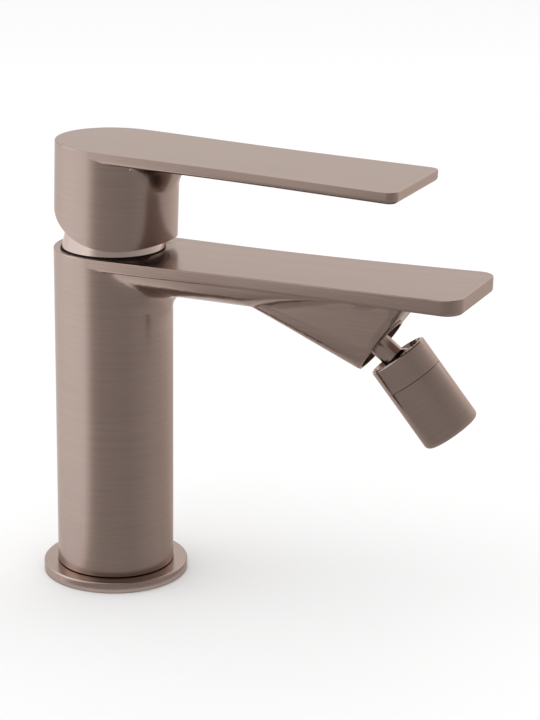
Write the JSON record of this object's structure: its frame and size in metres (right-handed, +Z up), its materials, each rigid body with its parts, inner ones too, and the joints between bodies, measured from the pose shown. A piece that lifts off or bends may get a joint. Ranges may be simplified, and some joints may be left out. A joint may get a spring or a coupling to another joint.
{
  "type": "mixer tap",
  "caption": "single lever bidet mixer tap: round column on a base flange, flat spout with a swivelling ball joint aerator, lever handle over a ceramic disc cartridge",
  "frame": {"origin": "on the column's axis, in the plane of the deck under the base flange", "axes": "+Z is up along the column, +X is the way the spout points, +Y completes the frame"},
  "size_m": [0.1723, 0.056, 0.1708],
  "materials": {
    "bronze_body": "satin",
    "bronze_trim": "satin",
    "bronze_handle": "satin",
    "bronze_swivel": "satin",
    "plain_brass": "satin",
    "steel": "satin",
    "black_rubber": "matte",
    "grey_plastic": "matte",
    "white_plastic": "matte",
    "dark_plastic": "satin",
    "disc_ceramic": "gloss"
  },
  "bodies": {
    "column": {"body": "bronze_body", "base_flange": "bronze_body", "base_gasket": "black_rubber", "base_seal_ring": "black_rubber", "cartridge_base": "grey_plastic", "base_seals": "black_rubber", "disc_seals": "black_rubber", "fixed_disc": "disc_ceramic", "cartridge_housing": "grey_plastic", "cartridge_o_ring": "black_rubber", "cartridge_nut": "plain_brass", "trim_seal": "black_rubber", "trim_ring": "bronze_trim", "ball_stem": "bronze_swivel", "outlet_washer": "black_rubber"},
    "rotor": {"spindle_guide": "white_plastic", "spindle_pin": "steel"},
    "slider": {"moving_disc": "disc_ceramic", "disc_carrier": "white_plastic"},
    "lever": {"lever_spindle": "plain_brass", "handle": "bronze_handle", "spindle_bush": "white_plastic", "handle_screw": "steel", "screw_plug": "dark_plastic"},
    "liner": {"ball_liner": "white_plastic"},
    "seat": {"ball_seat": "white_plastic"},
    "casing": {"aerator_collar": "bronze_swivel", "ball_seal": "black_rubber", "collar_seal": "black_rubber", "aerator_sleeve": "bronze_swivel", "aerator_washer": "black_rubber", "aerator_screen": "steel", "aerator_insert": "white_plastic", "flow_straightener": "white_plastic"}
  },
  "joints": [
    {"name": "temperature_turn", "type": "hinge", "parent": "column", "child": "rotor", "pos_m": [0, 0, 0.133], "axis": [0, 0, 1], "range_deg": [-50, 50]},
    {"name": "lever_lift", "type": "hinge", "parent": "rotor", "child": "lever", "pos_m": [0, 0, 0.133], "axis": [0, -1, 0], "range_deg": [0, 25]},
    {"name": "disc_slide", "type": "slide", "parent": "rotor", "child": "slider", "axis": [1, 0, 0], "range_m": [0, 0.0049]},
    {"name": "aerator_turn", "type": "hinge", "parent": "column", "child": "liner", "pos_m": [0.11868, 0, 0.09764], "axis": [0.809, 0, -0.5878], "continuous": true},
    {"name": "aerator_tilt", "type": "hinge", "parent": "liner", "child": "seat", "pos_m": [0.11868, 0, 0.09764], "axis": [0.1828, 0.9504, 0.2516], "range_deg": [-39.1, 4.9]},
    {"name": "aerator_spin", "type": "hinge", "parent": "seat", "child": "casing", "pos_m": [0.11868, 0, 0.09764], "axis": [0.6088, 0.0915, -0.788], "continuous": true}
  ],
  "couplings": [
    {"joint": "disc_slide", "follows": "lever_lift", "m_per_rad": 0.0112}
  ]
}
